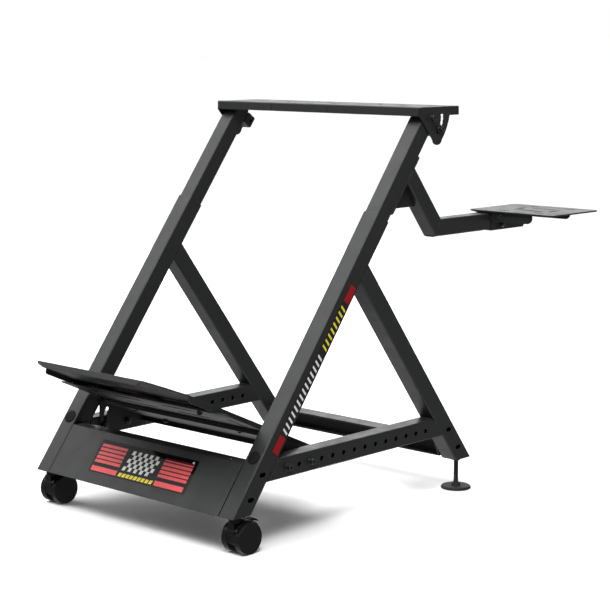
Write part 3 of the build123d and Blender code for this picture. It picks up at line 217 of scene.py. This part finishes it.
def vinyl(name, colour, rough=(0.34, 0.46), specular=0.25):
    """Printed vinyl film: slightly uneven ink over the coat's own texture."""
    film = Finish(name, specular=specular)
    faded = tuple(0.86 * channel + 0.002 for channel in colour)
    ink = film.blend(film.ramp(film.noise(9 * MM, 5.0), 0, 1), colour, faded)
    film.bump(film.noise(1.6 * MM, 2.0), 0.05 * MM, 0.3)
    return film.close(ink, film.ramp(film.noise(5 * MM), rough[0], rough[1]))


def threaded():
    """The black steel of the levelling studs, with the rings of a coarse thread."""
    steel = Finish("threaded_steel", metallic=0.85)
    thread = steel.nodes.new("ShaderNodeTexWave")
    thread.wave_type = "BANDS"
    thread.bands_direction = "Z"
    thread.inputs["Scale"].default_value = pi / (10 * THREAD_PITCH)
    steel.links.new(steel.place, thread.inputs["Vector"])
    steel.bump(thread.outputs["Fac"], 0.9 * MM, 0.9)
    tone = steel.blend(thread.outputs["Fac"], (0.020, 0.020, 0.020), (0.11, 0.11, 0.11))
    return steel.close(tone, steel.ramp(steel.noise(4 * MM), 0.30, 0.46))


FINISHES = {
    "powder_coat": powder_coat(),
    "black_hardware": black_oxide(),
    "black_plastic": moulded(
        "black_plastic",
        (0.005, 0.005, 0.005),
        (0.010, 0.010, 0.010),
        grain=1.1 * MM,
        depth=0.06 * MM,
        rough=(0.50, 0.64),
        specular=0.05,
    ),
    "wheel_plastic": moulded(
        "wheel_plastic",
        (0.005, 0.005, 0.005),
        (0.009, 0.009, 0.009),
        grain=1.6 * MM,
        depth=0.05 * MM,
        rough=(0.40, 0.52),
        specular=0.14,
    ),
    "caster_plastic": moulded(
        "caster_plastic",
        (0.004, 0.004, 0.004),
        (0.007, 0.007, 0.008),
        grain=1.3 * MM,
        depth=0.03 * MM,
        rough=(0.26, 0.38),
        specular=0.16,
    ),
    "foot_rubber": moulded(
        "foot_rubber",
        (0.012, 0.012, 0.012),
        (0.022, 0.021, 0.021),
        grain=0.9 * MM,
        depth=0.08 * MM,
        rough=(0.60, 0.78),
        specular=0.35,
    ),
}


def dress_frame():
    """Gives every CAD node the finish of its own slot."""
    for node in frame["nodes"].values():
        for holder in node.material_slots:
            slot = holder.material.name.split(".")[0]
            holder.material = FINISHES[slot]
    studs = threaded()
    for name in ("left_foot_stud", "right_foot_stud"):
        for holder in frame["nodes"][name].material_slots:
            holder.material = studs


dress_frame()

# ---------------------------------------------------------------- building pieces


def piece(name, body, mesh, materials):
    """Turns a bmesh into a piece of the object that rides on a body."""
    data = bpy.data.meshes.new(name)
    bmesh.ops.recalc_face_normals(mesh, faces=mesh.faces)
    mesh.to_mesh(data)
    mesh.free()
    for material in materials:
        data.materials.append(material)
    thing = bpy.data.objects.new(name, data)
    bpy.context.scene.collection.objects.link(thing)
    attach(thing, body)
    return thing


def slab(mesh, place, outline, low, high, material=0):
    """A flat film: an outline in film coordinates, between two heights off the surface."""
    bottom = [mesh.verts.new(place(a, b, low)) for a, b in outline]
    top = [mesh.verts.new(place(a, b, high)) for a, b in outline]
    faces = [mesh.faces.new(top), mesh.faces.new(reversed(bottom))]
    for i in range(len(outline)):
        j = (i + 1) % len(outline)
        faces.append(mesh.faces.new((bottom[i], bottom[j], top[j], top[i])))
    for face in faces:
        face.material_index = material


def bar(a, b, c, d, lean=0.0):
    """Corners of a bar from a to b across and c to d up, its top shifted by lean."""
    return [(a, c), (b, c), (b + lean, d), (a + lean, d)]


def rounded(a, b, c, d, radius, steps=5):
    """Corners of a rectangle with round corners."""
    corners = ((b, d, 0), (a, d, 1), (a, c, 2), (b, c, 3))
    points = []
    for x, y, turn in corners:
        centre_x = x - radius if turn in (0, 3) else x + radius
        centre_y = y - radius if turn in (0, 1) else y + radius
        for i in range(steps + 1):
            angle = (turn + i / steps) * pi / 2
            points.append((centre_x + radius * cos(angle), centre_y + radius * sin(angle)))
    return points


# ---------------------------------------------------------------- printed decals

FILM = 0.12 * MM
INK = 0.20 * MM
OVERPRINT = 0.26 * MM
BACKING, RED, WHITE, YELLOW, SHADOW_AND_SEAM_BLACK = range(5)
DECAL_FINISHES = [
    vinyl("decal_backing", (0.016, 0.016, 0.016), (0.40, 0.50), 0.12),
    vinyl("decal_red", (0.86, 0.085, 0.095)),
    vinyl("decal_white", (0.80, 0.80, 0.78)),
    vinyl("decal_yellow", (0.86, 0.72, 0.030)),
    # Matte black: a painted shadow on the panel decal's top right corner, and the dark joint lines of the
    # wheel plate
    vinyl("shadow_and_seam_black", (0.001, 0.001, 0.001), (0.60, 0.70), 0.02),
]
STRIP_RED = vinyl("strip_red", (0.32, 0.008, 0.014), (0.40, 0.50), 0.10)


def panel_place(x, u, off):
    """A point on the front panel's face."""
    return post_point(x, u, -off)


def stripe_block(mesh, left, right):
    """Five thin bars above a thick one."""
    pitch = 8.7 * MM
    for i in range(5):
        low = 46.2 * MM + i * pitch
        slab(mesh, panel_place, bar(left, right, low, low + 6.3 * MM), FILM, INK, RED)
    slab(mesh, panel_place, bar(left, right, 27.5 * MM, 38.0 * MM), FILM, INK, RED)


def chequer(mesh, left, right, low, high, columns, rows, lean):
    """A leaning chequered flag."""
    wide = (right - left) / columns
    tall = (high - low) / rows
    for row in range(rows):
        for column in range(columns):
            if (row + column) % 2:
                continue
            start = left + column * wide + row * lean / rows
            base = low + row * tall
            outline = bar(start, start + wide, base, base + tall, lean / rows)
            slab(mesh, panel_place, outline, FILM, INK, WHITE)


def panel_decal():
    """The front decal: red bars either side of a chequered flag with a yellow base line."""
    half = 139.5 * MM
    low = 24 * MM
    high = 96 * MM
    mesh = bmesh.new()
    slab(mesh, panel_place, rounded(-half, half, low, high, 1.5 * MM), 0, FILM, BACKING)
    stripe_block(mesh, -134 * MM, -59 * MM)
    stripe_block(mesh, 51 * MM, 131.5 * MM)
    chequer(mesh, -50 * MM, 33 * MM, 42 * MM, 86 * MM, 10, 5, 9 * MM)
    for i in range(9):
        start = (-54 + 11.2 * i) * MM
        slab(mesh, panel_place, bar(start, start + 8.4 * MM, 28 * MM, 36 * MM, 3 * MM), FILM, INK, YELLOW)
    # A painted shadow: a matte black sheet laid over the decal's top right corner
    corner = [(4, 96), (33, 84), (131.5, 84), (131.5, 68), (139.5, 68), (139.5, 96)]
    slab(mesh, panel_place, [(x * MM, u * MM) for x, u in corner], FILM, INK, SHADOW_AND_SEAM_BLACK)
    dot = [(127 + 2.6 * cos(i * pi / 8), 90 + 2.6 * sin(i * pi / 8)) for i in range(16)]
    slab(mesh, panel_place, [(x * MM, u * MM) for x, u in dot], INK, OVERPRINT, WHITE)
    piece("panel_decal", "frame", mesh, DECAL_FINISHES)


def post_strip(name, side):
    """The strip up a post's outer side: red ends, then white and yellow slanted ticks."""
    outside = MIDDLE_X - ORIGIN.x + side * (right_high.x - MIDDLE_X)

    def place(u, v, off):
        return post_point(outside + side * off, u, v)

    mesh = bmesh.new()
    slab(mesh, place, rounded(150 * MM, 523 * MM, 15 * MM, 36 * MM, 1.5 * MM), 0, FILM, BACKING)
    for start in (152 * MM, 484 * MM):
        slab(mesh, place, bar(start, start + 37 * MM, 17 * MM, 34 * MM), FILM, INK, RED)
    for first, last, ink in ((195, 368, WHITE), (378, 478, YELLOW)):
        count = round((last - first) / 12)
        pitch = (last - first) / count
        for i in range(count):
            start = (first + i * pitch) * MM
            tick = bar(start + 4 * MM, start + 8.5 * MM, 18 * MM, 33 * MM, -4 * MM)
            slab(mesh, place, tick, FILM, INK, ink)
    finishes = list(DECAL_FINISHES)
    finishes[RED] = STRIP_RED
    piece(name, "frame", mesh, finishes)


def plate_seams():
    """Thin dark joint lines down the wheel plate's front flange and its front right corner."""
    low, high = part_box("wheel_plate")

    def place(x, drop, off):
        return Vector((MIDDLE_X + x, low.y - off, high.z - drop))

    mesh = bmesh.new()
    corner = high.x - MIDDLE_X - 1.4 * MM
    for x, wide in ((-122 * MM, 0.8 * MM), (40 * MM, 0.8 * MM), (corner, 1.2 * MM)):
        slab(mesh, place, bar(x - wide / 2, x + wide / 2, 3.5 * MM, 17.5 * MM), 0, FILM)
    piece("plate_seams", "wheel_deck", mesh, [DECAL_FINISHES[SHADOW_AND_SEAM_BLACK]])


panel_decal()
plate_seams()
post_strip("right_post_strip", 1)
post_strip("left_post_strip", -1)

# ---------------------------------------------------------------- weld beads

BEAD_R = 1.8 * MM
ARM_BEAD_R = 1.6 * MM
RIPPLE_PITCH = 3.2 * MM
BEAD_SPOKES = 10
BEAD_INSET = 4 * MM

rail_low, rail_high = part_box("right_side_rail")
leg_low, leg_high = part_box("right_rear_leg")


def post_back(x, z):
    """The point of the posts' back face at a height."""
    v = TUBE
    u = (z - ORIGIN.z + v * UP_POST.y) / UP_POST.z
    return post_point(x, u, v)


leg_back_low = Vector((ORIGIN.x, leg_high.y, leg_low.z))
LEG_UP = (post_back(0, leg_high.z) - leg_back_low).normalized()
LEG_FRONT = Vector((0, -LEG_UP.z, LEG_UP.y))


def leg_front(x, z):
    """The point of the rear legs' front face at a height."""
    base = leg_back_low + LEG_FRONT * TUBE
    return base + LEG_UP * ((z - base.z) / LEG_UP.z) + ACROSS * x


def bead(mesh, start, end, outward, radius):
    """A rippled weld bead along a straight seam, its scallops one after another."""
    along = end - start
    length = along.length
    along = along.normalized()
    side = along.cross(outward).normalized()
    rings = max(12, round(length / (0.5 * MM)))
    previous = None
    for i in range(rings + 1):
        share = i / rings
        taper = min(1.0, 6 * share, 6 * (1 - share)) ** 0.5
        ripple = 0.84 + 0.16 * abs(sin(share * length / RIPPLE_PITCH * pi))
        size = max(radius * taper * ripple, radius * 0.12)
        centre = start + along * (length * share)
        ring = []
        for k in range(BEAD_SPOKES):
            angle = 2 * pi * k / BEAD_SPOKES
            ring.append(mesh.verts.new(centre + (outward * cos(angle) + side * sin(angle)) * size))
        if previous:
            for k in range(BEAD_SPOKES):
                j = (k + 1) % BEAD_SPOKES
                mesh.faces.new((previous[k], previous[j], ring[j], ring[k]))
        else:
            mesh.faces.new(reversed(ring))
        previous = ring
    mesh.faces.new(previous)


def welded(name, body, seams, radius=BEAD_R):
    """One piece that holds the beads of a body's seams; each seam is a start, an end and a way out."""
    mesh = bmesh.new()
    for start, end, outward in seams:
        bead(mesh, start, end, outward.normalized(), radius)
    smooth = piece(name, body, mesh, [FINISHES["powder_coat"]])
    for polygon in smooth.data.polygons:
        polygon.use_smooth = True


def frame_seams(side):
    """The seams of one side frame that run across its tubes."""
    middle = side * (right_high.x - TUBE / 2 - MIDDLE_X)
    left = middle - TUBE / 2 + BEAD_INSET
    right = middle + TUBE / 2 - BEAD_INSET
    top = rail_high.z
    under = rail_low.z
    up = Vector((0, 0, 1))
    back = INTO_POST
    seams = [
        (post_back(left, top), post_back(right, top), up + back),
        (post_back(left, under), post_back(right, under), back - up),
        (leg_front(left, top), leg_front(right, top), up + LEG_FRONT),
        (leg_front(left, under), leg_front(right, under), LEG_FRONT - up),
        (post_back(left, leg_high.z), post_back(right, leg_high.z), back - LEG_FRONT),
    ]
    # The leg's front face meets the post where both lie at the same y
    gap = post_back(0, top).y - leg_front(0, top).y
    closing = UP_POST.y / UP_POST.z - LEG_UP.y / LEG_UP.z
    meet = top - gap / closing
    seams.append((post_back(left, meet), post_back(right, meet), back + LEG_FRONT))
    return seams


def arm_seams():
    """The seams of the shifter arm across its strut."""
    strut_low, strut_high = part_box("arm_strut")
    elbow_low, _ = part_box("arm_rail")
    left = strut_low.x + BEAD_INSET
    right = strut_high.x - BEAD_INSET
    behind = Vector((0, 1, 0))
    up = Vector((0, 0, 1))
    knee = [Vector((x, elbow_low.y, elbow_low.z)) for x in (left, right)]
    head = [Vector((x, strut_low.y, strut_high.z)) for x in (left, right)]
    return [(knee[0], knee[1], -up), (head[0], head[1], up + behind)]


welded("left_frame_welds", "frame", frame_seams(-1))
welded("right_frame_welds", "frame", frame_seams(1))
welded("arm_welds", "mast", arm_seams(), ARM_BEAD_R)

# ---------------------------------------------------------------- stage, lights and camera

# Heights of a direction, as its unit vector's z: the horizon's blur, and where "straight down" fades in
HORIZON = 0.06
STEEP = -0.55
STEEPEST = -0.80


def floor():
    """A wide pale floor."""
    mesh = bmesh.new()
    bmesh.ops.create_grid(mesh, x_segments=24, y_segments=24, size=60)
    data = bpy.data.meshes.new("floor")
    mesh.to_mesh(data)
    mesh.free()
    ground = bpy.data.objects.new("floor", data)
    bpy.context.scene.collection.objects.link(ground)
    ground.location.z = cad_box[0][2]
    paper = Finish("floor_paper", specular=0.2)
    tone = paper.blend(paper.noise(0.6, 3.0), (0.86, 0.86, 0.86), (0.89, 0.89, 0.89))
    data.materials.append(paper.close(tone, paper.ramp(paper.noise(0.3), 0.75, 0.85)))
    # Bounced light skips the floor, and studio_air's lower half lights the undersides in its place
    ground.visible_diffuse = False
    ground.visible_glossy = False


def area_light(name, place, aim, size, power):
    """A soft rectangular lamp that doesn't show itself."""
    data = bpy.data.lights.new(name, "AREA")
    data.shape = "RECTANGLE"
    data.size, data.size_y = size
    data.energy = power
    lamp = bpy.data.objects.new(name, data)
    lamp.location = place
    lamp.rotation_euler = (Vector(aim) - Vector(place)).to_track_quat("-Z", "Y").to_euler()
    lamp.visible_camera = False
    bpy.context.scene.collection.objects.link(lamp)


def sky_light(strength, spread, tilt):
    """Even light from above, so the floor is as pale far off as it is near."""
    data = bpy.data.lights.new("sky", "SUN")
    data.energy = strength
    data.angle = spread
    lamp = bpy.data.objects.new("sky", data)
    lamp.location = (0, 0, 4)
    lamp.rotation_euler = tilt
    bpy.context.scene.collection.objects.link(lamp)


def level_step(nodes, links, height, start, end, low, high):
    """A value that goes from low to high between two heights of a direction."""
    step = nodes.new("ShaderNodeMapRange")
    step.inputs["From Min"].default_value = start
    step.inputs["From Max"].default_value = end
    step.inputs["To Min"].default_value = low
    step.inputs["To Max"].default_value = high
    links.new(height, step.inputs["Value"])
    return step.outputs["Result"]


def studio_air(above, below, straight_down, glow):
    """A surround that is dim above, brighter below, brightest straight down, and white where it shows."""
    world = bpy.data.worlds.new("studio")
    world.use_nodes = True
    nodes = world.node_tree.nodes
    links = world.node_tree.links
    shown = nodes.new("ShaderNodeBackground")
    shown.inputs["Color"].default_value = (1, 1, 1, 1)
    shown.inputs["Strength"].default_value = glow
    lighting = nodes["Background"]
    lighting.inputs["Color"].default_value = (1, 1, 1, 1)
    split = nodes.new("ShaderNodeSeparateXYZ")
    links.new(nodes.new("ShaderNodeTexCoord").outputs["Generated"], split.inputs["Vector"])
    total = nodes.new("ShaderNodeMath")
    total.operation = "ADD"
    links.new(level_step(nodes, links, split.outputs["Z"], -HORIZON, HORIZON, below, above), total.inputs[0])
    deep = level_step(nodes, links, split.outputs["Z"], STEEPEST, STEEP, straight_down - below, 0)
    links.new(deep, total.inputs[1])
    links.new(total.outputs["Value"], lighting.inputs["Strength"])
    mix = nodes.new("ShaderNodeMixShader")
    links.new(nodes.new("ShaderNodeLightPath").outputs["Is Camera Ray"], mix.inputs["Fac"])
    links.new(lighting.outputs["Background"], mix.inputs[1])
    links.new(shown.outputs["Background"], mix.inputs[2])
    links.new(mix.outputs["Shader"], nodes["World Output"].inputs["Surface"])
    bpy.context.scene.world = world


def camera():
    """A long lens to the front right, a little above the wheel plate."""
    aim = Vector((MIDDLE_X - 0.0005, ORIGIN.y + 0.5060, 0.3882))
    azimuth = radians(42.727)
    elevation = radians(8.696)
    distance = 3.719
    flat = cos(elevation)
    away = Vector((sin(azimuth) * flat, -cos(azimuth) * flat, sin(elevation)))
    data = bpy.data.cameras.new("camera")
    data.sensor_width = 36
    data.lens = 102.98
    data.clip_end = 200
    eye = bpy.data.objects.new("camera", data)
    eye.location = aim + away * distance
    eye.rotation_euler = (-away).to_track_quat("-Z", "Y").to_euler()
    bpy.context.scene.collection.objects.link(eye)
    bpy.context.scene.camera = eye


centre = Vector((MIDDLE_X, 0, 0.4))
floor()
area_light("key", centre + Vector((-0.67, -0.34, 0.66)) * 3.4, centre, (3.6, 3.4), 91)
area_light("edge", centre + Vector((0.46, -0.47, 0.75)) * 3.4, centre, (1.2, 1.2), 85)
area_light("backdrop", centre + Vector((-0.66, 0.73, 0.20)) * 4.2, centre, (4.4, 2.2), 63)
sky_light(3.45, radians(70), (radians(8), radians(-10), 0))
studio_air(0.17, 0.42, 1.7, 1.0)
camera()

# The default view transform greys out a white studio, so the plain one is used
bpy.context.scene.view_settings.view_transform = "Standard"
